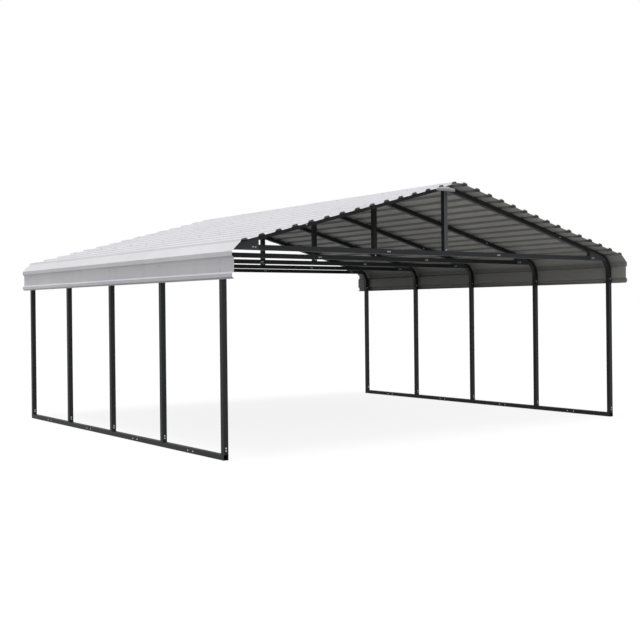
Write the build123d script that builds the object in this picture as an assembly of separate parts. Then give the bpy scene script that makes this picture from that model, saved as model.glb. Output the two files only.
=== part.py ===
from build123d import *
import math
import os

# Open carport: five bent steel tube frames on two base rails, under a low
# gable of ribbed steel sheets whose ribs run the length of the roof.
# Millimetres. +Z is up, X runs across the parking bay and the front is at -Y.
# The origin is on the ground at the middle of the plan.

os.makedirs("parts", exist_ok=True)

# Frames
frame_count = 5
bay = 1315.0
post_span = 6000.0
tube = 54.0
tube_wall = 1.5
roof_pitch = 14.7
eave_height = 2131.0
tie_drop = 42.0
eave_bend_radius = 230.0
ridge_bend_radius = 450.0

# Joints between tubes: one end is swaged down and slides into the next tube
spigot_length = 90.0
spigot_clear = 0.3
swage_neck = 8.0
post_leg = 331.0
rafter_leg = 1100.0
ridge_leg = 150.0
tie_middle = 1620.0
rail_overlap = 150.0
foot_stub = 80.0
king_stub = 45.0
cope_clear = 0.3

# Anchor holes down through the base rails, beside every other post
anchor_hole = 13.0
anchor_offset = 120.0
anchor_every = 2

# Folded gussets where tie, rafter and eave bend meet
gusset_reach = 432.0
gusset_plate = 1.9
gusset_clear = 0.2

# Roof sheets
sheet = 0.5
sheet_clear = 0.2
roof_overhang = 265.0
end_lap = 100.0
rib_pitch = 206.4
rib_height = 22.0
rib_base = 86.0
rib_top = 50.0
fascia_base = 68.0
fascia_top = 32.0
eave_facet = 81.0
eave_crown = 42.0
ridge_sheet_ribs = 2
roof_sheet_pitches = 5
eave_sheet_ribs = 3
crown_share = 0.68
fascia_cover = 10.0
lap_edge = 12.0
top_edge = 8.0
joggle = 3.0

# Derived sizes
bore = tube - 2 * tube_wall
spigot = bore - 2 * spigot_clear
spigot_bore = spigot - 2 * tube_wall
post_x = (post_span - tube) / 2
slope = math.radians(roof_pitch)
half_depth = (frame_count - 1) * bay / 2
frame_ys = [i * bay - half_depth for i in range(frame_count)]
roof_end = half_depth + roof_overhang
ridge_height = eave_height + post_span / 2 * math.tan(slope)
axis_peak = ridge_height - tube / 2 / math.cos(slope)
axis_corner = axis_peak - post_x * math.tan(slope)
eave_run = post_span / 2 / math.cos(slope)
eave_joint = eave_run - rafter_leg
post_joint_height = eave_height - post_leg
tie_underside = eave_height - tie_drop
tie_axis = tie_underside + tube / 2
sheet_step = sheet + sheet_clear

# Centre of the arc of an eave bend
bend_drop = eave_bend_radius * math.tan((math.pi / 2 - slope) / 2)
bend_centre_x = post_x - eave_bend_radius
bend_centre_z = axis_corner - bend_drop

# How far the ridge bends fall short of the peak, and the half width of the sheet's flat
# crown over them
peak_drop = (ridge_bend_radius + tube / 2) * (1 / math.cos(slope) - 1)
crown_run = crown_share * peak_drop / math.sin(slope)

# Ribs of one roof slope, set out from the eave up to the ridge sheet's crown
last_rib = eave_run - eave_facet - rib_base / 2
roof_ribs = 1 + int((last_rib - crown_run - rib_base / 2) / rib_pitch)
first_rib = last_rib - (roof_ribs - 1) * rib_pitch


def slope_point(run, height=0.0, side=1):
    """Point at a distance down the slope from the peak of the rafters' upper line."""
    x = run * math.cos(slope) + height * math.sin(slope)
    z = ridge_height - run * math.sin(slope) + height * math.cos(slope)
    return (side * x, z)


def axis_point(run, side):
    """Point on the centre line of a rafter, a distance down the slope."""
    x, z = slope_point(run, -tube / 2, side)
    return (x, z)


def straight_tube(length, start_spigot=0.0, end_spigot=0.0):
    """Hollow square tube up +Z from the origin, with swaged spigots past its ends."""
    body = extrude(Rectangle(tube, tube), length)
    hollow_start = swage_neck if start_spigot else 0.0
    hollow_end = length - (swage_neck if end_spigot else 0.0)
    if end_spigot:
        tip = extrude(Rectangle(spigot, spigot), end_spigot)
        body = body + Pos(0, 0, length) * tip
    if start_spigot:
        tip = extrude(Rectangle(spigot, spigot), start_spigot)
        body = body + Pos(0, 0, -start_spigot) * tip
    hollow = extrude(Rectangle(bore, bore), hollow_end - hollow_start)
    body = body - Pos(0, 0, hollow_start) * hollow
    if start_spigot or end_spigot:
        through = extrude(Rectangle(spigot_bore, spigot_bore), start_spigot + length + end_spigot)
        body = body - Pos(0, 0, -start_spigot) * through
    return body


def between(start, direction):
    """Plane at a point, with its +Z along a direction that lies in the XZ plane."""
    return Plane(origin=start, x_dir=(0, 1, 0), z_dir=direction)


def swept(path, section):
    """Solid bar of a section, swept along a path that lies in the XZ plane."""
    start = path @ 0
    return sweep(between((start.X, start.Y, start.Z), path % 0) * section, path=path)


def tube_walls():
    """Section of a tube."""
    return Rectangle(tube, tube) - Rectangle(bore, bore)


def stub_walls():
    """Section of a stub that is welded to one tube and slides up into another."""
    return Rectangle(spigot, spigot) - Rectangle(spigot_bore, spigot_bore)


def eave_path(side):
    """Centre line of an eave bend, from the post joint up and over to the rafter."""
    x_end, z_end = axis_point(eave_joint, side)
    return FilletPolyline(
        (side * post_x, 0, post_joint_height),
        (side * post_x, 0, axis_corner),
        (x_end, 0, z_end),
        radius=eave_bend_radius,
    )


def ridge_path(extra=0.0):
    """Centre line of a ridge bend, from its left joint over the peak to its right."""
    x_end, z_end = axis_point(ridge_leg + extra, 1)
    return FilletPolyline(
        (-x_end, 0, z_end),
        (0, 0, axis_peak),
        (x_end, 0, z_end),
        radius=ridge_bend_radius,
    )


def extruded_profile(points, y_start, y_end):
    """Closed outline in the XZ plane, carried along +Y between two stations."""
    outline = Polyline(*[(x, y_start, z) for x, z in points], close=True)
    return extrude(make_face(outline), amount=y_end - y_start, dir=(0, 1, 0))


def along_frames(shape):
    """One copy of a piece at every frame."""
    return [Pos(0, y, 0) * shape for y in frame_ys]


def save(name, shapes):
    """Write one node, made of one piece or of like pieces that don't touch."""
    pieces = shapes if isinstance(shapes, list) else [shapes]
    solids = [solid for piece in pieces for solid in piece.solids()]
    whole = solids[0] if len(solids) == 1 else Compound(children=solids)
    export_step(whole, f"parts/{name}.step")


# Base rails, in one length per post, each with a stub that the post slides over
def rail_segment(index, side):
    """Length of base rail under one post, with its stub and any anchor hole."""
    y_post = frame_ys[index]
    first = index == 0
    last = index == frame_count - 1
    joint_shift = (bay - rail_overlap) / 2
    y_start = y_post - tube / 2 if first else y_post - bay + joint_shift
    y_end = y_post + tube / 2 if last else y_post + joint_shift
    rail = straight_tube(y_end - y_start, end_spigot=0.0 if last else rail_overlap)
    seat = Plane(origin=(side * post_x, y_start, tube / 2), x_dir=(1, 0, 0), z_dir=(0, 1, 0))
    stub = Pos(side * post_x, y_post, tube) * extrude(stub_walls(), foot_stub)
    segment = seat * rail + stub
    if index % anchor_every == 0:
        inward = -1 if y_post > 0 else 1
        hole = Cylinder(anchor_hole / 2, 3 * tube)
        segment = segment - Pos(side * post_x, y_post + inward * anchor_offset, tube / 2) * hole
    return segment


for side, side_name in ((-1, "left"), (1, "right")):
    segments = [rail_segment(index, side) for index in range(frame_count)]
    save(f"base_rail_{side_name}", segments)

# Posts, standing on the base rails, with a spigot up into each eave bend
post = straight_tube(post_joint_height - tube, end_spigot=spigot_length)
for side, side_name in ((-1, "left"), (1, "right")):
    for number, y in enumerate(frame_ys, start=1):
        save(f"post_{side_name}_{number}", Pos(side * post_x, y, tube) * post)

# Eave bends, carrying each post round into its rafter
for side, side_name in ((-1, "left"), (1, "right")):
    bend = swept(eave_path(side), tube_walls())
    for number, y in enumerate(frame_ys, start=1):
        save(f"eave_bend_{side_name}_{number}", Pos(0, y, 0) * bend)

# Rafters, straight between the ridge bend and the eave bend
for side, side_name in ((-1, "left"), (1, "right")):
    x_top, z_top = axis_point(ridge_leg, side)
    down_slope = (side * math.cos(slope), 0, -math.sin(slope))
    rafter = between((x_top, 0, z_top), down_slope) * straight_tube(
        eave_joint - ridge_leg, end_spigot=spigot_length
    )
    save(f"rafters_{side_name}", along_frames(rafter))

# Ridge bends, with a swaged spigot into each rafter and a stub down the king post
ridge_tips = ridge_path(spigot_length)
ridge_tube = swept(ridge_path(), Rectangle(tube, tube))
ridge_bore = swept(ridge_tips, Rectangle(spigot_bore, spigot_bore))
ridge_bend = ridge_tube + swept(ridge_tips, Rectangle(spigot, spigot)) - ridge_bore
ridge_arc_drop = ridge_bend_radius * (1 / math.cos(slope) - 1)
bend_underside = axis_peak - ridge_arc_drop - tube / 2
peak_stub = Pos(0, 0, bend_underside - king_stub) * extrude(stub_walls(), king_stub + tube_wall)
ridge_bend = ridge_bend + peak_stub
save("ridge_bends", along_frames(ridge_bend))

# Ties, in three lengths: a middle one swaged at both ends with a stub up the king
# post, and two that are coped to the eave bends
middle = between((-tie_middle / 2, 0, tie_axis), (1, 0, 0)) * straight_tube(
    tie_middle, start_spigot=spigot_length, end_spigot=spigot_length
)
middle = middle + Pos(0, 0, tie_underside + tube) * extrude(stub_walls(), king_stub)
tie_rise = tie_underside - bend_centre_z
tie_reach = bend_centre_x + math.sqrt((eave_bend_radius - tube / 2) ** 2 - tie_rise**2)
cope = Rectangle(tube + 2 * cope_clear, tube + 2 * cope_clear)
tie_ends = []
for side in (-1, 1):
    end = between((side * tie_middle / 2, 0, tie_axis), (side, 0, 0)) * straight_tube(
        tie_reach - tie_middle / 2
    )
    tie_ends.append(end - swept(eave_path(side), cope))
for number, y in enumerate(frame_ys, start=1):
    save(f"tie_{number}", [Pos(0, y, 0) * piece for piece in [middle, *tie_ends]])

# King posts, from the tie up to the curved underside of the ridge bend
king_foot = tie_underside + tube
king = Pos(0, 0, king_foot) * straight_tube(axis_peak - king_foot)
king = king - swept(ridge_path(), cope)
save("king_posts", along_frames(king.solids().sort_by(Axis.Z)[0]))

# Eave gussets: a plate on each face of the frame, joined by a web at the inner edge
gusset_inner = post_span / 2 - gusset_reach
for side, side_name in ((-1, "left"), (1, "right")):
    x_arc = bend_centre_x + eave_bend_radius * math.sin(slope)
    z_arc = axis_peak - x_arc * math.tan(slope)
    x_foot = bend_centre_x + math.sqrt(eave_bend_radius**2 - tie_rise**2)
    plate_outline = [
        (side * gusset_inner, tie_underside),
        (side * gusset_inner, axis_peak - gusset_inner * math.tan(slope)),
        (side * x_arc, z_arc),
        (side * x_foot, tie_underside),
    ]
    face = tube / 2 + gusset_clear
    gusset = extruded_profile(plate_outline, face, face + gusset_plate)
    gusset = gusset + extruded_profile(plate_outline, -face - gusset_plate, -face)
    web_x = gusset_inner + gusset_plate
    web_top = axis_peak - tube / 2 / math.cos(slope) - web_x * math.tan(slope) - gusset_clear
    web_outline = [
        (side * gusset_inner, tie_underside + tube + gusset_clear),
        (side * gusset_inner, web_top),
        (side * web_x, web_top),
        (side * web_x, tie_underside + tube + gusset_clear),
    ]
    gusset = gusset + extruded_profile(web_outline, -face, face)
    save(f"eave_gussets_{side_name}", along_frames(gusset))


# Roof sheets. A sheet's path is a list of (x, z, level): where its folds lie on the
# frames' upper line, and how many sheet steps it is lifted there to lap another.
def rib_fold(number, level):
    """The four folds of one rib of the roof slope, going down the slope."""
    run = first_rib + number * rib_pitch
    feet = rib_base / 2
    crown = rib_top / 2
    folds = [(run - feet, 0), (run - crown, rib_height), (run + crown, rib_height), (run + feet, 0)]
    return [(*slope_point(distance, height), level) for distance, height in folds]


def lap_fold(number):
    """A rib that laps the sheet below it: joggled up before, and cut off after."""
    run = first_rib + number * rib_pitch
    upper = run - rib_base / 2 - lap_edge
    before = [(*slope_point(upper - joggle), 0), (*slope_point(upper), 1)]
    lower_edge = (*slope_point(run + rib_base / 2 + lap_edge), 1)
    return [*before, *rib_fold(number, 1), lower_edge]


def roof_sheet_path(first, last):
    """Path of a flat roof sheet, from a rib that is lapped to a rib that laps."""
    edge = (*slope_point(first_rib + first * rib_pitch - rib_base / 2 - top_edge), 0)
    ribs = [fold for number in range(first, last) for fold in rib_fold(number, 0)]
    return [edge, *ribs, *lap_fold(last)]


def eave_sheet_path(first):
    """Path of an eave sheet: roof ribs, a facet down to a tall rib, and the fascia."""
    edge = (*slope_point(first_rib + first * rib_pitch - rib_base / 2 - top_edge), 0)
    ribs = [fold for number in range(first, roof_ribs) for fold in rib_fold(number, 0)]
    face = post_span / 2
    outer = face + rib_height
    flank = (fascia_base - fascia_top) / 2
    low_foot = post_joint_height - fascia_cover
    high_foot = low_foot + rib_pitch
    high_rib = [
        (outer, high_foot + flank + eave_crown, 0),
        (outer, high_foot + flank, 0),
        (face, high_foot, 0),
    ]
    low_rib = [
        (face, low_foot + fascia_base, 0),
        (outer, low_foot + flank + fascia_top, 0),
        (outer, low_foot + flank, 0),
        (face, low_foot, 0),
    ]
    return [edge, *ribs, *high_rib, *low_rib]


def mirrored(path):
    """The same path on the left of the roof, going up the slope."""
    return [(-x, z, level) for x, z, level in reversed(path)]


def ridge_sheet_path():
    """Path of the ridge sheet, with a flat crown just clear of the ridge bends."""
    crown = (*slope_point(crown_run), 0)
    ribs = [fold for number in range(ridge_sheet_ribs - 1) for fold in rib_fold(number, 0)]
    right = [crown, *ribs, *lap_fold(ridge_sheet_ribs - 1)]
    return [*mirrored(right), *right]


def lifted(path, lift, per_level):
    """The path moved out square to itself, by a lift and so much more for each level."""
    moved = []
    for index, (x, z, level) in enumerate(path):
        before = path[max(index - 1, 0)]
        after = path[min(index + 1, len(path) - 1)]
        normals = []
        for a, b in ((before, (x, z)), ((x, z), after)):
            dx = b[0] - a[0]
            dz = b[1] - a[1]
            length = math.hypot(dx, dz)
            if length > 0:
                normals.append((-dz / length, dx / length))
        mean_x = sum(normal[0] for normal in normals) / len(normals)
        mean_z = sum(normal[1] for normal in normals) / len(normals)
        spread = (lift + level * per_level) / (mean_x**2 + mean_z**2)
        moved.append((x + mean_x * spread, z + mean_z * spread))
    return moved


def sheet_solid(path, y_start, y_end, layer):
    """Thin folded sheet on a path, lifted clear of what lies under it."""
    underside = sheet_clear + layer * sheet_step
    lower = lifted(path, underside, sheet_step)
    upper = lifted(path, underside + sheet, sheet_step)
    return extruded_profile([*lower, *reversed(upper)], y_start, y_end)


ridge_lap = ridge_sheet_ribs - 1
eave_lap = roof_ribs - 1 - eave_sheet_ribs
middle_lap = eave_lap - roof_sheet_pitches
roof_paths = [roof_sheet_path(ridge_lap, middle_lap), roof_sheet_path(middle_lap, eave_lap)]
eave_path_right = eave_sheet_path(eave_lap)
front = (-roof_end, end_lap / 2, 2)
rear = (-end_lap / 2, roof_end, 0)
for place, (y_start, y_end, layer) in (("front", front), ("rear", rear)):
    save(f"ridge_sheet_{place}", sheet_solid(ridge_sheet_path(), y_start, y_end, layer))
    for side_name, turned in (("left", mirrored), ("right", list)):
        eave = sheet_solid(turned(eave_path_right), y_start, y_end, layer)
        save(f"eave_sheet_{side_name}_{place}", eave)
        flats = [sheet_solid(turned(path), y_start, y_end, layer) for path in roof_paths]
        save(f"roof_sheets_{side_name}_{place}", flats)
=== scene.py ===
import logging
import math
from dataclasses import dataclass, field
from enum import Enum

import bpy
from mathutils import Matrix, Vector
from mathutils.bvhtree import BVHTree


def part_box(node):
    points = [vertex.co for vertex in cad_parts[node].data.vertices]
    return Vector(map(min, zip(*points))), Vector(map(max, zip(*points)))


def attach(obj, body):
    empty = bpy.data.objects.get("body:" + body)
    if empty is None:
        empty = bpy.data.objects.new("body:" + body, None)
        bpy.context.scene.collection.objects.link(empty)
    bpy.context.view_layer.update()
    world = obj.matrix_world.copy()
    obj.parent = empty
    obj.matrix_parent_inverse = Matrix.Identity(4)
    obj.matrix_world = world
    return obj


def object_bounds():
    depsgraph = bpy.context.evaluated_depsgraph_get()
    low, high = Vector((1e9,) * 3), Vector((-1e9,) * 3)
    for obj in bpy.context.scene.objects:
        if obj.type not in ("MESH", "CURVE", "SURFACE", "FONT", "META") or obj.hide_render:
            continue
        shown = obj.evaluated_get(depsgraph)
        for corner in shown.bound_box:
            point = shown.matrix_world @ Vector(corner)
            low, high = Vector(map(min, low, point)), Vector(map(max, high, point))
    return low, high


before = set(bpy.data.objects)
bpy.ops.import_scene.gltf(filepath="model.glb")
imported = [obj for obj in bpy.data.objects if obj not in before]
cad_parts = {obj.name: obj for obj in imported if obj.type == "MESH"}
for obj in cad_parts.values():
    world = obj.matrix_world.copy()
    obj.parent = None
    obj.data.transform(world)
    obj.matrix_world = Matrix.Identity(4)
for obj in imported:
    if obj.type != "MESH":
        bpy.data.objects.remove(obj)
CAD_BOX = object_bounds()

log = logging.getLogger("carport")

# What no node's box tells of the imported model, in metres: the pitch of the roof, X of the ties'
# joints, and the ribs of a slope, counted from the ridge, with those that two strips share
ROOF_PITCH = math.radians(14.7)
TIE_JOINT = 0.81
RIB_PITCH = 0.2064
RIB_BASE = 0.086
FIRST_RIB = 0.088
ROOF_RIBS = 15
LAPPED_RIBS = (1, 6, 11)

# Edges of the scene's own meshes that bend more than this stay sharp
SHARP_ANGLE = math.radians(32)

Color = tuple[float, float, float]
Span = tuple[float, float]
Ring = tuple[float, float]
Shell = tuple[list[Vector], list[tuple[int, ...]]]
Material = bpy.types.Material
Tree = bpy.types.ShaderNodeTree
Socket = bpy.types.NodeSocket
Outputs = bpy.types.NodeOutputs
Feed = Socket | float | Color


class Side(Enum):
    """The two long sides of the carport, seen from its front."""

    LEFT = -1
    RIGHT = 1


class Facing(Enum):
    """Which way a face of a tube looks."""

    FRONT = (0.0, -1.0, 0.0)
    BACK = (0.0, 1.0, 0.0)
    LEFT = (-1.0, 0.0, 0.0)
    RIGHT = (1.0, 0.0, 0.0)

    def outward(self) -> Vector:
        """Unit vector out of the face."""
        return Vector(self.value)


@dataclass(frozen=True)
class Layout:
    """Where the frames and the roof lie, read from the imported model."""

    tube: float
    post_x: float
    frame_ys: tuple[float, ...]
    rail_top: float
    post_joint: float
    tie_low: float
    ridge_joint: float
    eave_joint: float
    ridge_height: float
    king_top: float
    roof_front: float
    roof_rear: float
    fascia_bottom: float

    @classmethod
    def read(cls) -> "Layout":
        """Work the layout out from the boxes of a few nodes.

        Returns:
            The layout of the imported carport.
        """
        post_low, post_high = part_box("post_right_1")
        rafter_low, rafter_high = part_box("rafters_right")
        bend_low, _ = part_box("eave_bend_right_1")
        sheet_low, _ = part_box("eave_sheet_right_front")
        _, rear_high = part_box("eave_sheet_right_rear")
        tube = post_high.x - post_low.x
        corner = tube * math.sin(ROOF_PITCH)
        ridge_joint = (rafter_low.x + corner) / math.cos(ROOF_PITCH)
        ys = []
        while f"post_right_{len(ys) + 1}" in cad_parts:
            low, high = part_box(f"post_right_{len(ys) + 1}")
            ys.append((low.y + high.y) / 2)
        return cls(
            tube=tube,
            post_x=(post_low.x + post_high.x) / 2,
            frame_ys=tuple(ys),
            rail_top=post_low.z,
            post_joint=bend_low.z,
            tie_low=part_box("tie_1")[0].z,
            ridge_joint=ridge_joint,
            eave_joint=(bend_low.x + corner) / math.cos(ROOF_PITCH),
            ridge_height=rafter_high.z + ridge_joint * math.sin(ROOF_PITCH),
            king_top=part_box("king_posts")[1].z,
            roof_front=sheet_low.y,
            roof_rear=rear_high.y,
            fascia_bottom=sheet_low.z,
        )

    def bays(self) -> list[float]:
        """Middle of each bay between two frames, along Y."""
        return [(a + b) / 2 for a, b in zip(self.frame_ys, self.frame_ys[1:])]

    def on_slope(self, run: float, side: Side, height: float = 0.0) -> Vector:
        """Point on the frames' upper line, at Y of 0.

        Args:
            run: Distance down the slope from its peak.
            side: Which slope it is.
            height: Distance out of the slope, square to it.

        Returns:
            The point, in metres.
        """
        x = run * math.cos(ROOF_PITCH) + height * math.sin(ROOF_PITCH)
        z = self.ridge_height - run * math.sin(ROOF_PITCH) + height * math.cos(ROOF_PITCH)
        return Vector((side.value * x, 0.0, z))

    def slope_normal(self, side: Side) -> Vector:
        """Unit vector up out of a roof slope."""
        return Vector((side.value * math.sin(ROOF_PITCH), 0.0, math.cos(ROOF_PITCH)))


@dataclass(frozen=True)
class Spot:
    """Sockets that tell where a point of a surface is, and which way its face looks."""

    place: Outputs
    normal: Outputs


class Graph:
    """Short ways to add nodes to one shader tree and join them."""

    def __init__(self, tree: Tree) -> None:
        """Start with an emptied tree of a material, a world or a node group."""
        self.tree = tree
        tree.nodes.clear()

    def put(self, socket: Socket, value: Feed) -> None:
        """Feed an input from another socket, or set it to a plain value.

        Args:
            socket: The input.
            value: A socket, a number or a colour.
        """
        if isinstance(value, Socket):
            self.tree.links.new(value, socket)
        elif isinstance(value, tuple) and socket.type == "RGBA":
            socket.default_value = (*value, 1.0)
        else:
            socket.default_value = value

    def add(
        self, kind: str, feeds: dict[str | int, Feed] | None = None, **settings: str | int | bool
    ) -> bpy.types.Node:
        """Add a node.

        Args:
            kind: Its type, without the words ShaderNode.
            feeds: What goes into its inputs, by name or number.
            **settings: Its own properties.

        Returns:
            The node.
        """
        node = self.tree.nodes.new("ShaderNode" + kind)
        for name, value in settings.items():
            setattr(node, name, value)
        for name, value in (feeds or {}).items():
            self.put(node.inputs[name], value)
        return node

    def math(self, operation: str, a: Feed, b: Feed) -> Socket:
        """Result of a Math node, clamped to 0 to 1."""
        return self.add("Math", {0: a, 1: b}, operation=operation, use_clamp=True).outputs[0]

    def times(self, a: Feed, b: Feed) -> Socket:
        """Product of two shares."""
        return self.math("MULTIPLY", a, b)

    def absolute(self, value: Feed) -> Socket:
        """Size of a number, without its sign."""
        return self.add("Math", {0: value}, operation="ABSOLUTE").outputs[0]

    def spread(
        self, value: Feed, low: float, high: float, to_low: float = 0.0, to_high: float = 1.0
    ) -> Socket:
        """Value carried from one range to another, and held inside it.

        Args:
            value: The value.
            low: Where the first range starts.
            high: Where the first range ends.
            to_low: Result at low.
            to_high: Result at high.

        Returns:
            The mapped value.
        """
        feeds = {
            "Value": value,
            "From Min": low,
            "From Max": high,
            "To Min": to_low,
            "To Max": to_high,
        }
        return self.add("MapRange", feeds, clamp=True).outputs[0]

    def mix(self, share: Feed, a: Feed, b: Feed) -> Socket:
        """Colour that goes from a to b as the share goes from 0 to 1."""
        # Inputs 6 and 7 and output 2 are the Mix node's sockets for colours
        return self.add("Mix", {0: share, 6: a, 7: b}, data_type="RGBA").outputs[2]

    def split(self, vector: Feed) -> Outputs:
        """X, Y and Z of a vector."""
        return self.add("SeparateXYZ", {0: vector}).outputs

    def geometry(self, output: str) -> Socket:
        """Output of a Geometry node."""
        return self.add("NewGeometry").outputs[output]

    def place(self, stretch: tuple[float, float, float] = (1.0, 1.0, 1.0)) -> Socket:
        """Place on the object, in metres, stretched along each axis."""
        where = self.add("TexCoord").outputs["Object"]
        return self.add("Mapping", {"Vector": where, "Scale": stretch}).outputs[0]

    def spot(self) -> Spot:
        """Where a point of the surface is, in metres, and which way its face looks."""
        return Spot(self.split(self.place()), self.split(self.geometry("True Normal")))

    def noise(self, where: Feed, scale: Feed, detail: float = 3.0) -> Socket:
        """Smooth noise, from 0 to 1."""
        return self.add("TexNoise", {"Vector": where, "Scale": scale, "Detail": detail}).outputs[0]

    def bump(
        self, height: Feed, strength: float, depth: float, over: Socket | None = None
    ) -> Socket:
        """Normal of a surface that a fine relief stands on.

        Args:
            height: Height of the relief, from 0 to 1.
            strength: How much of it shows.
            depth: What a height of 1 stands for, in metres.
            over: Normal under the relief, where that isn't the surface's own.

        Returns:
            The normal.
        """
        feeds = {"Strength": strength, "Distance": depth, "Height": height}
        if over is not None:
            feeds["Normal"] = over
        return self.add("Bump", feeds).outputs[0]

    def group(self, tree: Tree, **values: float) -> bpy.types.Node:
        """Node group, placed with its own values.

        Args:
            tree: The group.
            **values: Its inputs, with the spaces in their names as underscores.

        Returns:
            The group node.
        """
        node = self.tree.nodes.new("ShaderNodeGroup")
        node.node_tree = tree
        for name, value in values.items():
            self.put(node.inputs[name.replace("_", " ")], value)
        return node


def new_group(
    name: str, inputs: dict[str, float], outputs: dict[str, str]
) -> tuple[Graph, bpy.types.Node, bpy.types.Node]:
    """Start a shader node group.

    Args:
        name: Name of the group.
        inputs: Its number inputs, with their first values.
        outputs: Its outputs, with the kind of each socket.

    Returns:
        The graph of the group, its input node and its output node.
    """
    tree = bpy.data.node_groups.new(name, "ShaderNodeTree")
    for label, value in inputs.items():
        socket = tree.interface.new_socket(label, in_out="INPUT", socket_type="NodeSocketFloat")
        socket.default_value = value
    for label, kind in outputs.items():
        tree.interface.new_socket(label, in_out="OUTPUT", socket_type="NodeSocket" + kind)
    graph = Graph(tree)
    start = tree.nodes.new("NodeGroupInput")
    end = tree.nodes.new("NodeGroupOutput")
    return graph, start, end


@dataclass
class Effects:
    """Shader node groups that several finishes share, and the ranges that shape their masks."""

    corner_span: Span = (0.995, 0.85)
    wear_span: Span = (0.42, 0.66)
    tone_span: Span = (0.3, 0.7)
    settle_span: Span = (0.2, 1.0)
    dust_span: Span = (0.38, 0.72)
    streak_span: Span = (0.46, 0.74)
    streak_stretch: tuple[float, float, float] = (0.06, 1.0, 0.10)
    bevel_samples: int = 4
    edges: Tree = field(init=False)
    grain: Tree = field(init=False)
    weather: Tree = field(init=False)

    def __post_init__(self) -> None:
        """Build every group."""
        self.edges = self.edge_group()
        self.grain = self.grain_group()
        self.weather = self.weather_group()

    def edge_group(self) -> Tree:
        """Rounded corners, and how worn they are.

        Returns:
            A group with a rounded normal and a mask of broken wear.
        """
        inputs = {"Radius": 0.002, "Scale": 60.0}
        graph, start, end = new_group("edge_wear", inputs, {"Normal": "Vector", "Mask": "Float"})
        feeds = {"Radius": start.outputs["Radius"]}
        rounded = graph.add("Bevel", feeds, samples=self.bevel_samples).outputs[0]
        plain = graph.geometry("Normal")
        bend = graph.add("VectorMath", {0: rounded, 1: plain}, operation="DOT_PRODUCT")
        corner = graph.spread(bend.outputs["Value"], *self.corner_span)
        broken = graph.spread(graph.noise(graph.place(), start.outputs["Scale"]), *self.wear_span)
        graph.put(end.inputs["Normal"], rounded)
        graph.put(end.inputs["Mask"], graph.times(corner, broken))
        return graph.tree

    def grain_group(self) -> Tree:
        """Fine unevenness of a coat.

        Returns:
            A group with a height for bump and a slow change of tone.
        """
        inputs = {"Scale": 600.0, "Tone Scale": 3.0}
        graph, start, end = new_group("fine_grain", inputs, {"Height": "Float", "Tone": "Float"})
        where = graph.place()
        graph.put(end.inputs["Height"], graph.noise(where, start.outputs["Scale"], detail=2.0))
        tone = graph.noise(where, start.outputs["Tone Scale"], detail=5.0)
        graph.put(end.inputs["Tone"], graph.spread(tone, *self.tone_span))
        return graph.tree

    def weather_group(self) -> Tree:
        """Dust that settles, and streaks that rain draws down the slopes of the roof.

        Returns:
            A group with a mask of dust and a mask of streaks.
        """
        inputs = {"Dust Scale": 2.5, "Streak Scale": 14.0}
        graph, start, end = new_group("weather", inputs, {"Dust": "Float", "Streaks": "Float"})
        settled = graph.spread(graph.split(graph.geometry("Normal"))["Z"], *self.settle_span)
        patches = graph.noise(graph.place(), start.outputs["Dust Scale"], detail=6.0)
        dust = graph.times(settled, graph.spread(patches, *self.dust_span))
        graph.put(end.inputs["Dust"], dust)
        across = graph.place(self.streak_stretch)
        streaks = graph.noise(across, start.outputs["Streak Scale"], detail=4.0)
        graph.put(end.inputs["Streaks"], graph.spread(streaks, *self.streak_span))
        return graph.tree


def new_material(name: str) -> tuple[Material, Graph]:
    """Start a node material.

    Args:
        name: Name of the material.

    Returns:
        The material and the graph of its tree.
    """
    material = bpy.data.materials.new(name)
    material.use_nodes = True
    return material, Graph(material.node_tree)


def show(graph: Graph, shader: bpy.types.Node) -> None:
    """Send a shader to the material's output."""
    graph.add("OutputMaterial", {"Surface": shader.outputs[0]})


@dataclass(frozen=True)
class Grain:
    """How uneven a coat is: its fine relief, and the slow drift of its tone and roughness."""

    scale: float
    tone_scale: float
    strength: float
    depth: float
    roughness: float
    rough_change: float = 0.0

    def lay(
        self, graph: Graph, effects: Effects, under: Socket | None = None
    ) -> tuple[Socket, dict[str, Feed]]:
        """Lay the grain on a material.

        Args:
            graph: Graph of the material.
            effects: The shared node groups.
            under: Normal under the relief, where that isn't the surface's own.

        Returns:
            The tone, from 0 to 1, and what the shader takes from the grain.
        """
        grain = graph.group(effects.grain, Scale=self.scale, Tone_Scale=self.tone_scale)
        tone = grain.outputs["Tone"]
        rough = self.roughness
        if self.rough_change:
            rough = graph.spread(tone, 0.0, 1.0, rough, rough + self.rough_change)
        normal = graph.bump(grain.outputs["Height"], self.strength, self.depth, under)
        return tone, {"Roughness": rough, "Normal": normal}


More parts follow.
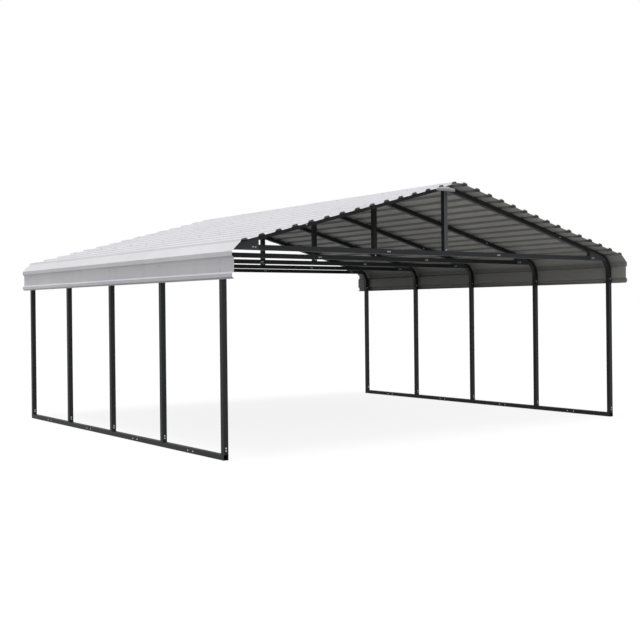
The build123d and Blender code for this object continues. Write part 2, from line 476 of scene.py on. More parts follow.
@dataclass(frozen=True)
class PowderCoat:
    """Charcoal powder coat on the tubes and gussets, satin, with a fine orange peel."""

    effects: Effects
    name: str
    color: Color = (0.018, 0.0195, 0.022)
    thin_color: Color = (0.030, 0.032, 0.035)
    worn_color: Color = (0.075, 0.076, 0.078)
    dust_color: Color = (0.20, 0.19, 0.17)
    # Painted sheen: the paler colour that faces looking forward take, as a painted reflection
    sheen_color: Color = (0.095, 0.102, 0.108)
    peel: Grain = Grain(
        scale=700.0, tone_scale=2.2, strength=0.35, depth=0.00012, roughness=0.42, rough_change=0.10
    )
    specular: float = 0.24
    corner_radius: float = 0.0018
    wear_scale: float = 45.0
    wear_share: float = 0.35
    thin_share: float = 0.5
    dust_scale: float = 5.0
    dust_share: float = 0.05
    # The next four fields shape the painted sheen: how much, where it stops along Y, and which
    # faces
    sheen_share: float = 0.0
    sheen_until: float = 0.0
    sheen_fade: float = 0.01
    forward_span: Span = (-0.5, -0.9)

    def front_sheen(self, graph: Graph, color: Socket) -> Socket:
        """Colour of a coat with a painted sheen, lighter on the faces that look forward.

        Args:
            graph: Graph of the material.
            color: The coat without the painted sheen.

        Returns:
            The colour.
        """
        spot = graph.spot()
        first = graph.spread(spot.place["Y"], self.sheen_until, self.sheen_until - self.sheen_fade)
        front = graph.times(graph.spread(spot.normal["Y"], *self.forward_span), first)
        return graph.mix(graph.times(front, self.sheen_share), color, self.sheen_color)

    def build(self) -> Material:
        """Make the material.

        Returns:
            The powder coat.
        """
        material, graph = new_material(self.name)
        edges = graph.group(self.effects.edges, Radius=self.corner_radius, Scale=self.wear_scale)
        weather = graph.group(self.effects.weather, Dust_Scale=self.dust_scale)
        tone, feeds = self.peel.lay(graph, self.effects, edges.outputs["Normal"])
        color = graph.mix(graph.times(tone, self.thin_share), self.color, self.thin_color)
        worn = graph.times(edges.outputs["Mask"], self.wear_share)
        color = graph.mix(worn, color, self.worn_color)
        dust = graph.times(weather.outputs["Dust"], self.dust_share)
        color = graph.mix(dust, color, self.dust_color)
        # Painted sheen on the faces that look forward
        if self.sheen_share:
            color = self.front_sheen(graph, color)
        feeds |= {"Base Color": color, "Specular IOR Level": self.specular}
        show(graph, graph.add("BsdfPrincipled", feeds))
        return material


@dataclass(frozen=True)
class CoilCoat:
    """Pale coil-coated sheet: a face coat outside, a grey backer inside, bare cut edges.

    A span is where a mask starts and ends, in metres or by the way a face looks, and a share is
    how much of a colour goes on at most.
    """

    effects: Effects
    face_color: Color = (0.780, 0.775, 0.812)
    face_shade: Color = (0.740, 0.735, 0.772)
    backer_color: Color = (0.54, 0.535, 0.51)
    backer_shade: Color = (0.46, 0.455, 0.43)
    # Painted shade: the colour that darkens the backer in the ribs' hollows and at their open ends
    painted_shade_color: Color = (0.10, 0.10, 0.095)
    # Painted shade: the colour that darkens the backer towards the rear and on the fascias' inner
    # faces
    rear_shade_color: Color = (0.11, 0.11, 0.107)
    edge_color: Color = (0.30, 0.31, 0.32)
    dust_color: Color = (0.52, 0.50, 0.46)
    # Painted shade: the colour that darkens the lower part of each fascia
    low_shade_color: Color = (0.49, 0.475, 0.525)
    grain: Grain = Grain(
        scale=420.0, tone_scale=0.9, strength=0.12, depth=0.0001, roughness=0.42, rough_change=0.08
    )
    specular: float = 0.40
    canning_stretch: tuple[float, float, float] = (1.0, 0.45, 1.0)
    canning_scale: float = 3.5
    canning_strength: float = 0.5
    canning_depth: float = 0.006
    dust_scale: float = 1.6
    dust_share: float = 0.16
    streak_scale: float = 9.0
    streak_share: float = 0.14
    side_lean: float = 1.3
    outer_span: Span = (-0.01, 0.01)
    cut_span: Span = (0.6, 0.8)
    slope_end: float = 2.85
    slope_blend: float = 0.05
    # The fields from here to the end shape painted shade on the backer and on the fascias
    hollow: float = 0.09
    hollow_span: Span = (0.96, 0.50)
    hollow_samples: int = 8
    hollow_shade_share: float = 0.8
    rear_shade_span: Span = (-1.2, 1.9)
    rear_shade_share: float = 0.85
    flank_span: Span = (0.93, 0.85)
    end_reach: float = 0.14
    end_share: float = 0.85
    upright_span: Span = (0.7, 0.3)
    skirt_shade_share: Span = (0.30, 0.60)
    low_shade_rise: float = 0.20
    low_shade_span: Span = (1.6, 0.2)
    low_shade_share: float = 0.40

    def skirt(self, graph: Graph, spot: Spot) -> Socket:
        """Mask of the fascias, which hang outside the slopes."""
        aside = graph.absolute(spot.place["X"])
        return graph.spread(aside, self.slope_end, self.slope_end + self.slope_blend)

    def end_shade(self, graph: Graph, spot: Spot, level: Socket) -> Socket:
        """Share of painted shade on the flanks of the ribs, at their open ends.

        Args:
            graph: Graph of the material.
            spot: The point of the surface.
            level: One where the face lies level, and zero where it stands upright.

        Returns:
            The share.
        """
        end = CAD_BOX[1][1]
        start = end - self.end_reach
        ends = graph.spread(
            graph.absolute(spot.place["Y"]), start, start + self.end_reach / 2, 0.0, self.end_share
        )
        aside = graph.absolute(spot.place["X"])
        slope = graph.spread(aside, self.slope_end, self.slope_end - self.slope_blend)
        flank = graph.times(graph.spread(level, *self.flank_span), slope)
        return graph.times(flank, ends)

    def skirt_shade(self, graph: Graph, spot: Spot, level: Socket) -> Socket:
        """Share of painted shade on the inner faces of the fascias, more towards the rear.

        Args:
            graph: Graph of the material.
            spot: The point of the surface.
            level: One where the face lies level, and zero where it stands upright.

        Returns:
            The share.
        """
        share = graph.spread(spot.place["Y"], CAD_BOX[0][1], CAD_BOX[1][1], *self.skirt_shade_share)
        upright = graph.times(graph.spread(level, *self.upright_span), share)
        return graph.times(upright, self.skirt(graph, spot))

    def low_shade(self, graph: Graph, spot: Spot) -> Socket:
        """Share of painted shade on the lower part of each fascia, towards the front.

        Args:
            graph: Graph of the material.
            spot: The point of the surface.

        Returns:
            The share.
        """
        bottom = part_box("eave_sheet_right_front")[0].z
        top = bottom + self.low_shade_rise
        low = graph.spread(spot.place["Z"], top, bottom, 0.0, self.low_shade_share)
        front = graph.spread(spot.place["Y"], *self.low_shade_span)
        return graph.times(graph.times(low, self.skirt(graph, spot)), front)

    def inside(self, graph: Graph, spot: Spot, tone: Socket) -> Socket:
        """Colour of the backer, with painted shade in the ribs, at their open ends, towards the
        rear and on the fascias' inner faces.

        Args:
            graph: Graph of the material.
            spot: The point of the surface.
            tone: A slow change of tone.

        Returns:
            The colour.
        """
        feeds = {"Distance": self.hollow}
        # Painted shade: the sheet's own ambient occlusion darkens the backer in the ribs' hollows
        near = graph.add("AmbientOcclusion", feeds, samples=self.hollow_samples, only_local=True)
        hollow_shade = graph.spread(near.outputs["AO"], *self.hollow_span, 0.0, self.hollow_shade_share)
        # Painted shade: the backer darkens towards the rear, deeper under the roof
        rear_shade = graph.spread(spot.place["Y"], *self.rear_shade_span, 0.0, self.rear_shade_share)
        level = graph.absolute(spot.normal["Z"])
        color = graph.mix(tone, self.backer_color, self.backer_shade)
        color = graph.mix(hollow_shade, color, self.painted_shade_color)
        color = graph.mix(rear_shade, color, self.rear_shade_color)
        # Painted shade on the flanks of the ribs at their open ends
        color = graph.mix(self.end_shade(graph, spot, level), color, self.painted_shade_color)
        # Painted shade on the inner faces of the fascias
        return graph.mix(self.skirt_shade(graph, spot, level), color, self.rear_shade_color)

    def outside(self, graph: Graph, spot: Spot, tone: Socket) -> Socket:
        """Colour of the face coat, with dust, streaks and painted shade low on the fascias.

        Args:
            graph: Graph of the material.
            spot: The point of the surface.
            tone: A slow change of tone.

        Returns:
            The colour.
        """
        weather = graph.group(
            self.effects.weather, Dust_Scale=self.dust_scale, Streak_Scale=self.streak_scale
        )
        dust = graph.times(weather.outputs["Dust"], self.dust_share)
        streaks = graph.times(weather.outputs["Streaks"], self.streak_share)
        color = graph.mix(tone, self.face_color, self.face_shade)
        color = graph.mix(dust, color, self.dust_color)
        color = graph.mix(streaks, color, self.dust_color)
        # Painted shade on the lower part of each fascia, towards the front
        return graph.mix(self.low_shade(graph, spot), color, self.low_shade_color)

    def outer_mask(self, graph: Graph, spot: Spot) -> Socket:
        """Tell the outer face of the sheet from its underside.

        Args:
            graph: Graph of the material.
            spot: The point of the surface.

        Returns:
            One on the faces that look up or away from the middle, and zero on the others.
        """
        side = graph.add("Math", {0: spot.place["X"]}, operation="SIGN").outputs[0]
        away = graph.add("Math", {0: spot.normal["X"], 1: side}, operation="MULTIPLY").outputs[0]
        feeds = {0: away, 1: self.side_lean, 2: spot.normal["Z"]}
        lean = graph.add("Math", feeds, operation="MULTIPLY_ADD").outputs[0]
        return graph.spread(lean, *self.outer_span)

    def build(self) -> Material:
        """Make the material.

        Returns:
            The sheet's coating.
        """
        material, graph = new_material("coil_coat")
        canning = graph.noise(graph.place(self.canning_stretch), self.canning_scale, detail=1.0)
        waves = graph.bump(canning, self.canning_strength, self.canning_depth)
        tone, feeds = self.grain.lay(graph, self.effects, waves)
        spot = graph.spot()
        outer = self.outer_mask(graph, spot)
        cut = graph.spread(graph.absolute(spot.normal["Y"]), *self.cut_span)
        color = graph.mix(outer, self.inside(graph, spot, tone), self.outside(graph, spot, tone))
        color = graph.mix(cut, color, self.edge_color)
        feeds |= {"Base Color": color, "Specular IOR Level": self.specular}
        show(graph, graph.add("BsdfPrincipled", feeds))
        return material


@dataclass(frozen=True)
class ZincPlate:
    """Bright zinc plating on the frame's screws, brushed by the driver."""

    effects: Effects
    color: Color = (0.80, 0.81, 0.82)
    dull_color: Color = (0.60, 0.61, 0.62)
    brush: Grain = Grain(
        scale=2400.0,
        tone_scale=160.0,
        strength=0.25,
        depth=0.00005,
        roughness=0.30,
        rough_change=0.18,
    )
    metallic: float = 0.85
    corner_radius: float = 0.0004

    def build(self) -> Material:
        """Make the material.

        Returns:
            The zinc plating.
        """
        material, graph = new_material("zinc_plate")
        edges = graph.group(self.effects.edges, Radius=self.corner_radius)
        tone, feeds = self.brush.lay(graph, self.effects, edges.outputs["Normal"])
        color = graph.mix(tone, self.color, self.dull_color)
        feeds |= {"Base Color": color, "Metallic": self.metallic}
        show(graph, graph.add("BsdfPrincipled", feeds))
        return material


@dataclass(frozen=True)
class Enamel:
    """White enamel, pearly on the ridge plate and plain on the heads of the roof screws."""

    effects: Effects
    name: str
    color: Color = (0.88, 0.885, 0.89)
    chip_color: Color = (0.45, 0.46, 0.47)
    grain: Grain = Grain(
        scale=900.0, tone_scale=12.0, strength=0.1, depth=0.00008, roughness=0.28, rough_change=0.12
    )
    pearl: float = 0.0
    coat: float = 0.1
    corner_radius: float = 0.0006
    chip_scale: float = 300.0
    chip_share: float = 0.5

    def build(self) -> Material:
        """Make the material.

        Returns:
            The enamel.
        """
        material, graph = new_material(self.name)
        edges = graph.group(self.effects.edges, Radius=self.corner_radius, Scale=self.chip_scale)
        chips = graph.times(edges.outputs["Mask"], self.chip_share)
        color = graph.mix(chips, self.color, self.chip_color)
        _, feeds = self.grain.lay(graph, self.effects, edges.outputs["Normal"])
        feeds |= {"Base Color": color, "Metallic": self.pearl, "Coat Weight": self.coat}
        show(graph, graph.add("BsdfPrincipled", feeds))
        return material


@dataclass(frozen=True)
class SealRubber:
    """Black rubber of the sealing washers, dusty on top."""

    effects: Effects
    color: Color = (0.022, 0.022, 0.023)
    dust_color: Color = (0.12, 0.115, 0.105)
    grain: Grain = Grain(scale=1500.0, tone_scale=80.0, strength=0.4, depth=0.0001, roughness=0.72)

    def build(self) -> Material:
        """Make the material.

        Returns:
            The rubber.
        """
        material, graph = new_material("seal_rubber")
        tone, feeds = self.grain.lay(graph, self.effects)
        feeds["Base Color"] = graph.mix(tone, self.color, self.dust_color)
        show(graph, graph.add("BsdfPrincipled", feeds))
        return material


@dataclass
class Finishes:
    """Every material of the carport, built once."""

    effects: Effects = field(default_factory=Effects)
    behind_tie: float = 0.01
    tube_coat: Material = field(init=False)
    lit_plate_coat: Material = field(init=False)
    king_coat: Material = field(init=False)
    coil_coat: Material = field(init=False)
    zinc_plate: Material = field(init=False)
    plate_enamel: Material = field(init=False)
    head_enamel: Material = field(init=False)
    seal_rubber: Material = field(init=False)

    def __post_init__(self) -> None:
        """Build the materials."""
        first_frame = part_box("tie_1")[1].y + self.behind_tie
        # Painted light: the gussets get a paler copy of the tube coat, which makes up for the
        # eave's shade on them
        lit_plate_colors = {"color": (0.064, 0.070, 0.074), "thin_color": (0.078, 0.084, 0.088)}
        self.tube_coat = PowderCoat(self.effects, "tube_coat").build()
        self.lit_plate_coat = PowderCoat(self.effects, "lit_plate_coat", **lit_plate_colors).build()
        # The first king post's coat carries a painted sheen on the faces that look forward
        self.king_coat = PowderCoat(
            self.effects, "king_coat", sheen_share=0.9, sheen_until=first_frame
        ).build()
        self.coil_coat = CoilCoat(self.effects).build()
        self.zinc_plate = ZincPlate(self.effects).build()
        self.plate_enamel = Enamel(self.effects, "plate_enamel", pearl=0.7, coat=0.4).build()
        self.head_enamel = Enamel(self.effects, "head_enamel", color=(0.74, 0.75, 0.77)).build()
        self.seal_rubber = SealRubber(self.effects).build()


def sized(rings: tuple[Ring, ...], radius: float, height: float, lift: float = 0.0) -> list[Ring]:
    """Profile at its real size, from rings that give radius and height as shares."""
    return [(share * radius, lift + rise * height) for share, rise in rings]


def ring_faces(rings: int, sides: int) -> list[tuple[int, ...]]:
    """Faces of a closed shell whose vertices come ring by ring.

    Args:
        rings: How many rings it has.
        sides: How many vertices each ring has.

    Returns:
        The face in the first ring, those between the rings, and the face in the last ring.
    """
    faces = [tuple(reversed(range(sides)))]
    for ring in range(rings - 1):
        low = ring * sides
        high = low + sides
        for step in range(sides):
            after = (step + 1) % sides
            faces.append((low + step, low + after, high + after, high + step))
    top = (rings - 1) * sides
    faces.append(tuple(range(top, top + sides)))
    return faces


def turned(profile: list[Ring], sides: int) -> Shell:
    """Closed shell made by turning a profile about +Z.

    Args:
        profile: Radius and height of each ring, from the bottom up.
        sides: How many sides each ring has.

    Returns:
        The shell's vertices and faces.
    """
    vertices = []
    for radius, height in profile:
        for step in range(sides):
            angle = 2 * math.pi * step / sides
            vertices.append(Vector((radius * math.cos(angle), radius * math.sin(angle), height)))
    return vertices, ring_faces(len(profile), sides)


def mesh_object(
    name: str, vertices: list[Vector], faces: list[tuple[int, ...]], material: Material
) -> bpy.types.Object:
    """New mesh object, smooth but for its sharp edges.

    Args:
        name: Name of the piece.
        vertices: Its vertices, in metres in the shared frame.
        faces: Its faces.
        material: Its finish.

    Returns:
        The object, linked to the scene.
    """
    mesh = bpy.data.meshes.new(name)
    mesh.from_pydata(vertices, [], faces)
    mesh.validate()
    mesh.shade_smooth()
    mesh.set_sharp_from_angle(angle=SHARP_ANGLE)
    mesh.materials.append(material)
    piece = bpy.data.objects.new(name, mesh)
    bpy.context.scene.collection.objects.link(piece)
    return piece


def joined(
    name: str, shells: list[Shell], seats: list[Matrix], material: Material
) -> bpy.types.Object:
    """One piece made of the same shells at many seats.

    Args:
        name: Name of the piece.
        shells: The shells of one fastener, standing on the origin.
        seats: Where each fastener stands.
        material: Its finish.

    Returns:
        The piece.
    """
    vertices: list[Vector] = []
    faces: list[tuple[int, ...]] = []
    for seat in seats:
        for points, polygons in shells:
            first = len(vertices)
            vertices += [seat @ point for point in points]
            faces += [tuple(first + index for index in polygon) for polygon in polygons]
    return mesh_object(name, vertices, faces, material)


def add_piece(piece: bpy.types.Object) -> None:
    """Let a new piece ride on the carport, and log it.

    Args:
        piece: The piece.
    """
    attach(piece, "root")
    log.info("%s: %d faces", piece.name, len(piece.data.polygons))


@dataclass(frozen=True)
class HexHead:
    """A hexagonal screw head with a pressed dimple, on a round flange."""

    across_flats: float
    height: float
    flange_radius: float
    flange_edge: float
    chamfer: float = 0.0008
    flange_rings: tuple[Ring, ...] = ((0.96, 0.0), (1.0, 0.5), (0.97, 1.0))
    flange_sides: int = 20
    neck_share: float = 1.02
    crown_share: float = 0.88
    dimple_share: float = 0.62
    dimple_floor_share: float = 0.52

    def shells(self, lift: float = 0.0) -> list[Shell]:
        """The flange and the hexagon, as closed shells.

        Args:
            lift: Height of the flange's underside over the seat.

        Returns:
            The two shells.
        """
        sides = 6
        corner = self.across_flats / 2 / math.cos(math.pi / sides)
        shoulder = lift + 2 * self.flange_edge
        top = lift + self.height
        flange = sized(self.flange_rings, self.flange_radius, self.flange_edge, lift)
        flange.append((corner * self.neck_share, shoulder))
        hexagon = [
            (corner, lift + self.flange_edge),
            (corner, top - self.chamfer),
            (corner * self.crown_share, top),
            (corner * self.dimple_share, top),
            (corner * self.dimple_floor_share, top - self.chamfer),
        ]
        return [turned(flange, self.flange_sides), turned(hexagon, sides)]


class Seats:
    """Finds where a fastener sits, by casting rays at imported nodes."""

    reach: float = 0.03
    golden_angle: float = math.radians(137.5)

    def __init__(self, kinds: tuple[str, ...]) -> None:
        """Gather the faces of some nodes.

        Args:
            kinds: How the names of the nodes start.
        """
        vertices: list[Vector] = []
        polygons: list[list[int]] = []
        for name in sorted(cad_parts):
            if name.startswith(kinds):
                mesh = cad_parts[name].data
                first = len(vertices)
                vertices += [vertex.co.copy() for vertex in mesh.vertices]
                polygons += [[first + index for index in face.vertices] for face in mesh.polygons]
        self.tree = BVHTree.FromPolygons(vertices, polygons)
        self.count = 0

    def find(self, near: Vector, outward: Vector) -> Matrix:
        """Seat on the face that a fastener goes through.

        Args:
            near: A point close to that face.
            outward: The way that the head points.

        Returns:
            A matrix that carries a head standing on the origin to its seat.
        """
        start = near + outward * self.reach
        spot, normal, _, _ = self.tree.ray_cast(start, -outward, 2 * self.reach)
        if spot is None:
            raise ValueError(f"no face near {tuple(round(value, 3) for value in near)}")
        if normal.dot(outward) < 0:
            normal.negate()
        self.count += 1
        turn = Matrix.Rotation(self.count * self.golden_angle, 4, "Z")
        return Matrix.Translation(spot) @ normal.to_track_quat("Z", "Y").to_matrix().to_4x4() @ turn


def dress_nodes(kinds: tuple[str, ...], material: Material) -> None:
    """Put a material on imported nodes.

    Args:
        kinds: How the names of the nodes start.
        material: Their finish.
    """
    for name, node in sorted(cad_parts.items()):
        if name.startswith(kinds):
            for slot in node.material_slots:
                slot.material = material
            if not node.material_slots:
                node.data.materials.append(material)
            log.info("%s: %s", name, material.name)


@dataclass
class TubeFrames:
    """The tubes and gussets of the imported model, with their coat."""

    finishes: Finishes
    kinds: tuple[str, ...] = ("base_rail", "post_", "eave_bend", "rafters", "ridge_bends", "tie_")
    kings: tuple[str, ...] = ("king_posts",)
    plates: tuple[str, ...] = ("eave_gussets",)

    def dress(self) -> None:
        """Give the tubes the dark coat, with painted sheen on the first king post's front, and the
        gussets a lighter copy as painted light.
        """
        dress_nodes(self.kinds, self.finishes.tube_coat)
        dress_nodes(self.kings, self.finishes.king_coat)
        dress_nodes(self.plates, self.finishes.lit_plate_coat)


@dataclass
class SheetRoof:
    """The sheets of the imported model, with their coating."""

    finishes: Finishes
    kinds: tuple[str, ...] = ("roof_sheets", "eave_sheet", "ridge_sheet")

    def dress(self) -> None:
        """Give every sheet the coil coating."""
        dress_nodes(self.kinds, self.finishes.coil_coat)


@dataclass
class FrameFasteners:
    """Zinc-plated screws through the tubes' joints, the post feet and the gussets."""

    layout: Layout
    finishes: Finishes
    head: HexHead = HexHead(
        across_flats=0.0105, height=0.0062, flange_radius=0.0082, flange_edge=0.0009
    )
    into_spigot: float = 0.05
    tie_screws: tuple[float, ...] = (0.040, 0.068)
    foot_heights: tuple[float, ...] = (0.040, 0.065)
    king_foot: float = 0.016
    king_head: float = 0.022
    gusset_xs: tuple[float, ...] = (2.607, 2.638)
    gusset_rise: float = 0.031
    rail_half_gap: float = 0.055

    def frame_points(self, side: Side) -> list[Vector]:
        """Centres of the screws of half a frame, in the XZ plane.

        Args:
            side: Which half it is.

        Returns:
            The points, on the tubes' centre lines.
        """
        plan = self.layout
        out = side.value
        post = out * plan.post_x
        tie = plan.tie_low + plan.tube / 2
        gusset = plan.tie_low + self.gusset_rise
        points = [Vector((post, 0.0, plan.rail_top + height)) for height in self.foot_heights]
        points.append(Vector((post, 0.0, plan.post_joint + self.into_spigot)))
        points.append(plan.on_slope(plan.eave_joint + self.into_spigot, side, -plan.tube / 2))
        points += [Vector((out * (TIE_JOINT + along), 0.0, tie)) for along in self.tie_screws]
        points += [Vector((out * x, 0.0, gusset)) for x in self.gusset_xs]
        return points

    def king_foot_point(self) -> Vector:
        """Centre of the screw at the foot of a king post."""
        return Vector((0.0, 0.0, self.layout.tie_low + self.layout.tube + self.king_foot))

    def back_points(self) -> list[Vector]:
        """Centres of the screws that go in from the back alone, at the ridge of a frame.

        Returns:
            The points, on the tubes' centre lines.
        """
        plan = self.layout
        run = plan.ridge_joint + self.into_spigot
        joints = [plan.on_slope(run, side, -plan.tube / 2) for side in Side]
        return joints + [Vector((0.0, 0.0, plan.king_top - self.king_head))]

    def frame_seats(self, seats: Seats, y: float) -> list[Matrix]:
        """Seats of the screws of one frame.

        Args:
            seats: Ray casts on the tubes.
            y: Where the frame stands.

        Returns:
            The seats, on the front of the frame and then on its back.
        """
        through = [point for side in Side for point in self.frame_points(side)]
        through.append(self.king_foot_point())
        points = {Facing.FRONT: through, Facing.BACK: through + self.back_points()}
        found = []
        for facing, centres in points.items():
            outward = facing.outward()
            face = Vector((0.0, y, 0.0)) + outward * self.layout.tube / 2
            found += [seats.find(centre + face, outward) for centre in centres]
        return found

    def rail_seats(self, seats: Seats, side: Side) -> list[Matrix]:
        """Seats of the screws at the joints of one base rail.

        Args:
            seats: Ray casts on the tubes.
            side: Which rail it is.

        Returns:
            The seats, on both upright faces of the rail.
        """
        plan = self.layout
        found = []
        for middle in plan.bays():
            for y in (middle - self.rail_half_gap, middle + self.rail_half_gap):
                for facing in (Facing.LEFT, Facing.RIGHT):
                    outward = facing.outward()
                    centre = Vector((side.value * plan.post_x, y, plan.tube / 2))
                    found.append(seats.find(centre + outward * plan.tube / 2, outward))
        return found

    def build(self) -> None:
        """Make the screws of each frame, and of each base rail."""
        seats = Seats(TubeFrames.kinds + TubeFrames.kings + TubeFrames.plates)
        places = {}
        for number, y in enumerate(self.layout.frame_ys, start=1):
            places[f"frame_screws_{number}"] = self.frame_seats(seats, y)
        for side in Side:
            places[f"rail_screws_{side.name.lower()}"] = self.rail_seats(seats, side)
        shells = self.head.shells()
        for name, found in places.items():
            add_piece(joined(name, shells, found, self.finishes.zinc_plate))


@dataclass
class RoofFasteners:
    """Painted screws on sealing washers, through the sheets into the frames and laps."""

    layout: Layout
    finishes: Finishes
    head: HexHead = HexHead(
        across_flats=0.008, height=0.0052, flange_radius=0.0070, flange_edge=0.0007
    )
    seal_radius: float = 0.0074
    seal_thickness: float = 0.0024
    seal_rings: tuple[Ring, ...] = ((0.94, 0.0), (1.0, 0.5), (0.95, 1.0))
    seal_sides: int = 20
    beside_rib: float = 0.020
    stitch_spacing: float = 0.46
    stitch_end: float = 0.12
    fascia_rises: tuple[float, ...] = (0.088, 0.186)

    def slope_seats(self, seats: Seats, side: Side) -> list[Matrix]:
        """Seats over the frames and along the laps of one slope.

        Args:
            seats: Ray casts on the sheets.
            side: Which slope it is.

        Returns:
            The seats.
        """
        plan = self.layout
        outward = plan.slope_normal(side)
        found = []
        for y in plan.frame_ys:
            for rib in range(ROOF_RIBS - 1):
                run = FIRST_RIB + rib * RIB_PITCH + RIB_BASE / 2 + self.beside_rib
                found.append(seats.find(plan.on_slope(run, side) + Vector((0.0, y, 0.0)), outward))
        first = plan.roof_front + self.stitch_end
        last = plan.roof_rear - self.stitch_end
        count = round((last - first) / self.stitch_spacing)
        for rib in LAPPED_RIBS:
            crown = plan.on_slope(FIRST_RIB + rib * RIB_PITCH, side)
            for step in range(count + 1):
                y = first + (last - first) * step / count
                found.append(seats.find(crown + Vector((0.0, y, 0.0)), outward))
        return found

    def fascia_seats(self, seats: Seats, side: Side) -> list[Matrix]:
        """Seats through one fascia into the posts and bends.

        Args:
            seats: Ray casts on the sheets.
            side: Which fascia it is.

        Returns:
            The seats.
        """
        plan = self.layout
        outward = (Facing.LEFT if side is Side.LEFT else Facing.RIGHT).outward()
        face = side.value * (plan.post_x + plan.tube / 2)
        return [
            seats.find(Vector((face, y, plan.fascia_bottom + rise)), outward)
            for y in plan.frame_ys
            for rise in self.fascia_rises
        ]

    def build(self) -> None:
        """Make the screws and the seals of each side of the roof."""
        seats = Seats(SheetRoof.kinds)
        heads = self.head.shells(self.seal_thickness)
        profile = sized(self.seal_rings, self.seal_radius, self.seal_thickness)
        seal = [turned(profile, self.seal_sides)]
        for side in Side:
            found = self.slope_seats(seats, side) + self.fascia_seats(seats, side)
            end = side.name.lower()
            screws = joined(f"roof_screws_{end}", heads, found, self.finishes.head_enamel)
            add_piece(screws)
            seals = joined(f"roof_seals_{end}", seal, found, self.finishes.seal_rubber)
            add_piece(seals)


@dataclass
class RidgePlate:
    """Bare gabled plate on the front of the first frame, with a pressed rim and rivets."""

    layout: Layout
    finishes: Finishes
    half_width: float = 0.148
    below_ridge: float = 0.073
    side_below_ridge: float = 0.043
    peak_below_ridge: float = 0.016
    thickness: float = 0.0022
    rim: float = 0.0045
    rim_fall: float = 0.0015
    dish: float = 0.0009
    rivet_x: float = 0.125
    rivet_rise: float = 0.016
    rivet_radius: float = 0.0045
    rivet_rings: tuple[Ring, ...] = (
        (1.0, 0.0),
        (1.0, 0.12),
        (0.86, 0.42),
        (0.50, 0.62),
        (0.15, 0.68),
    )
    rivet_sides: int = 16

    def outline(self, inset: float) -> list[tuple[float, float]]:
        """Outline of the plate, moved in on every side.

        Args:
            inset: How far each side moves in.

        Returns:
            X and Z of the five corners.
        """
        ridge = self.layout.ridge_height
        rise = self.side_below_ridge - self.peak_below_ridge
        lean = math.atan2(rise, self.half_width)
        low = ridge - self.below_ridge + inset
        wide = self.half_width - inset
        drop = inset / math.cos(lean)
        peak = ridge - self.peak_below_ridge - drop
        side = peak - wide * math.tan(lean)
        return [(-wide, low), (wide, low), (wide, side), (0.0, peak), (-wide, side)]

    def pressed(self, back: float, front: float) -> Shell:
        """The plate, with a rounded edge and a rim that stands over its middle.

        Args:
            back: Y of its back.
            front: Y of the rim.

        Returns:
            The plate's vertices and faces.
        """
        loops = [
            (0.0, back),
            (0.0, front + self.dish),
            (self.dish, front),
            (self.rim, front),
            (self.rim + self.rim_fall, front + self.dish),
        ]
        vertices = [Vector((x, y, z)) for inset, y in loops for x, z in self.outline(inset)]
        return vertices, ring_faces(len(loops), len(vertices) // len(loops))

    def rivet_seats(self, face: float) -> list[Matrix]:
        """Seats of the two rivets.

        Args:
            face: Y of the plate's middle, inside the rim.

        Returns:
            The seats, with the rivets' heads to the front.
        """
        turn = Matrix.Rotation(math.pi / 2, 4, "X")
        z = self.layout.ridge_height - self.below_ridge + self.rivet_rise
        return [Matrix.Translation((x, face, z)) @ turn for x in (-self.rivet_x, self.rivet_x)]

    def build(self) -> None:
        """Make the plate and its two rivets."""
        back = self.layout.frame_ys[0] - self.layout.tube / 2
        front = back - self.thickness
        vertices, faces = self.pressed(back, front)
        add_piece(mesh_object("ridge_plate", vertices, faces, self.finishes.plate_enamel))
        profile = sized(self.rivet_rings, self.rivet_radius, self.rivet_radius)
        dome = [turned(profile, self.rivet_sides)]
        seats = self.rivet_seats(front + self.dish)
        rivets = joined("ridge_plate_rivets", dome, seats, self.finishes.zinc_plate)
        add_piece(rivets)


def direction(elevation: float, azimuth: float) -> Vector:
    """Unit vector at one angle over the ground, and another from +X towards +Y."""
    level = math.cos(elevation)
    return Vector((level * math.cos(azimuth), level * math.sin(azimuth), math.sin(elevation)))


@dataclass(frozen=True)
class PhotoCamera:
    """The camera, at the photograph's viewing angle."""

    place: tuple[float, float, float] = (-8.0565, -11.3838, 1.4888)
    yaw: float = math.radians(37.2644)
    pitch: float = math.radians(-0.0917)
    roll: float = math.radians(-0.6179)
    lens: float = 57.126
    sensor_width: float = 36.0
    shift_x: float = -0.046875
    shift_y: float = -0.015625
    sight: float = 400.0

    def build(self) -> None:
        """Add the camera and make it the scene's own."""
        ahead = direction(self.pitch, math.pi / 2 - self.yaw)
        level = Vector((math.cos(self.yaw), -math.sin(self.yaw), 0.0))
        upright = level.cross(ahead)
        right = math.cos(self.roll) * level + math.sin(self.roll) * upright
        up = math.cos(self.roll) * upright - math.sin(self.roll) * level
        camera = bpy.data.cameras.new("photo_camera")
        camera.lens = self.lens
        camera.sensor_width = self.sensor_width
        camera.shift_x = self.shift_x
        camera.shift_y = self.shift_y
        camera.clip_end = self.sight
        holder = bpy.data.objects.new("photo_camera", camera)
        turn = Matrix((right, up, -ahead)).transposed().to_4x4()
        holder.matrix_world = Matrix.Translation(self.place) @ turn
        bpy.context.scene.collection.objects.link(holder)
        bpy.context.scene.camera = holder


@dataclass(frozen=True)
class SoftLamp:
    """A broad lamp, so far away that its light falls the same way everywhere."""

    name: str
    strength: float
    breadth: float
    elevation: float
    azimuth: float


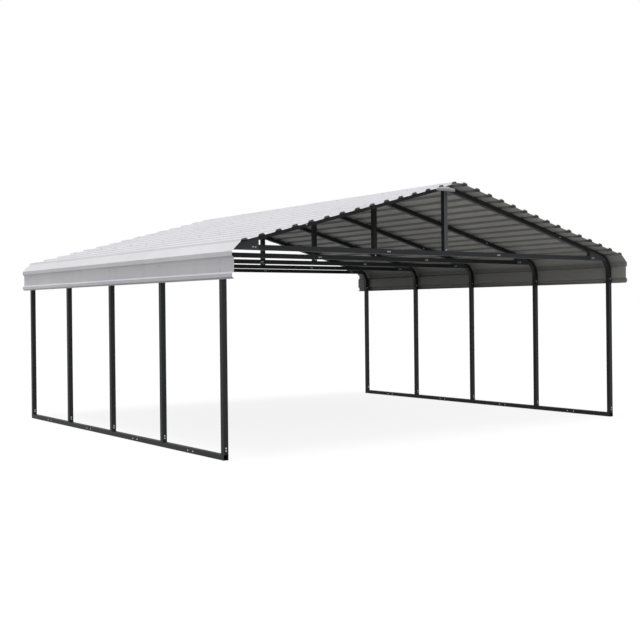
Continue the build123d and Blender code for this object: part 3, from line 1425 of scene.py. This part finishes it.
@dataclass(frozen=True)
class Studio:
    """Pale floor, white surroundings that are brighter in front, and broad soft lamps."""

    floor_half: float = 150.0
    floor_drop: float = 0.0005
    gloss_share: float = 0.6
    floor_bounce: float = 0.27
    floor_glow: float = 0.85
    floor_shade: float = 0.18
    sky_front: float = 0.72
    sky_rear: float = 0.38
    lamps: tuple[SoftLamp, ...] = (
        SoftLamp("overhead", 0.50, math.radians(28), math.radians(80), math.radians(205)),
        SoftLamp("front_fill", 0.12, math.radians(60), math.radians(25), math.radians(250)),
    )

    def seen(self, graph: Graph) -> Socket:
        """Tell what is seen from what only gives light.

        Args:
            graph: Graph of the floor's material or of the world.

        Returns:
            One for what the camera sees, less in a gloss, and zero for plain light.
        """
        path = graph.add("LightPath")
        glossed = graph.times(path.outputs["Is Glossy Ray"], self.gloss_share)
        return graph.math("ADD", path.outputs["Is Camera Ray"], glossed)

    def floor(self) -> None:
        """Add the floor: white to the eye under a light shadow, dull as a reflector."""
        material, graph = new_material("studio_floor")
        dull = graph.add("BsdfDiffuse", {"Color": (self.floor_bounce,) * 3})
        glow = graph.add("Emission", {"Color": (1.0, 1.0, 1.0), "Strength": self.floor_glow})
        shade = graph.add("BsdfDiffuse", {"Color": (self.floor_shade,) * 3})
        white = graph.add("AddShader", {0: glow.outputs[0], 1: shade.outputs[0]})
        feeds = {0: self.seen(graph), 1: dull.outputs[0], 2: white.outputs[0]}
        show(graph, graph.add("MixShader", feeds))
        half = self.floor_half
        spots = ((-half, -half), (half, -half), (half, half), (-half, half))
        corners = [Vector((x, y, 0.0)) for x, y in spots]
        plane = mesh_object("studio_floor", corners, [(0, 1, 2, 3)], material)
        plane.location.z = -self.floor_drop

    def world(self) -> None:
        """White surroundings, dimmer as a light than they look."""
        world = bpy.data.worlds.new("studio_world")
        world.use_nodes = True
        graph = Graph(world.node_tree)
        toward = graph.split(graph.add("TexCoord").outputs["Generated"])["Y"]
        sky = graph.spread(toward, -1.0, 1.0, self.sky_front, self.sky_rear)
        light = graph.add("Background", {"Color": (1.0, 1.0, 1.0), "Strength": sky})
        look = graph.add("Background", {"Color": (1.0, 1.0, 1.0), "Strength": 1.0})
        feeds = {0: self.seen(graph), 1: light.outputs[0], 2: look.outputs[0]}
        both = graph.add("MixShader", feeds)
        graph.add("OutputWorld", {"Surface": both.outputs[0]})
        bpy.context.scene.world = world

    def add_lamp(self, lamp: SoftLamp) -> None:
        """Add one broad lamp.

        Args:
            lamp: How strong and how broad it is, and where it stands.
        """
        light = bpy.data.lights.new(lamp.name, "SUN")
        light.energy = lamp.strength * math.pi
        light.angle = lamp.breadth
        holder = bpy.data.objects.new(lamp.name, light)
        towards = direction(lamp.elevation, lamp.azimuth)
        holder.rotation_euler = towards.to_track_quat("Z", "Y").to_euler()
        bpy.context.scene.collection.objects.link(holder)

    def build(self) -> None:
        """Add everything that lights the carport or lies behind it."""
        self.floor()
        self.world()
        for lamp in self.lamps:
            self.add_lamp(lamp)


def main() -> None:
    """Dress the carport, add its fasteners and plate, and set the studio up."""
    logging.basicConfig(level=logging.INFO, format="%(name)s: %(message)s")
    bpy.context.scene.view_settings.view_transform = "Standard"
    layout = Layout.read()
    finishes = Finishes()
    PhotoCamera().build()
    Studio().build()
    TubeFrames(finishes).dress()
    SheetRoof(finishes).dress()
    FrameFasteners(layout, finishes).build()
    RoofFasteners(layout, finishes).build()
    RidgePlate(layout, finishes).build()


if __name__ == "__main__":
    main()
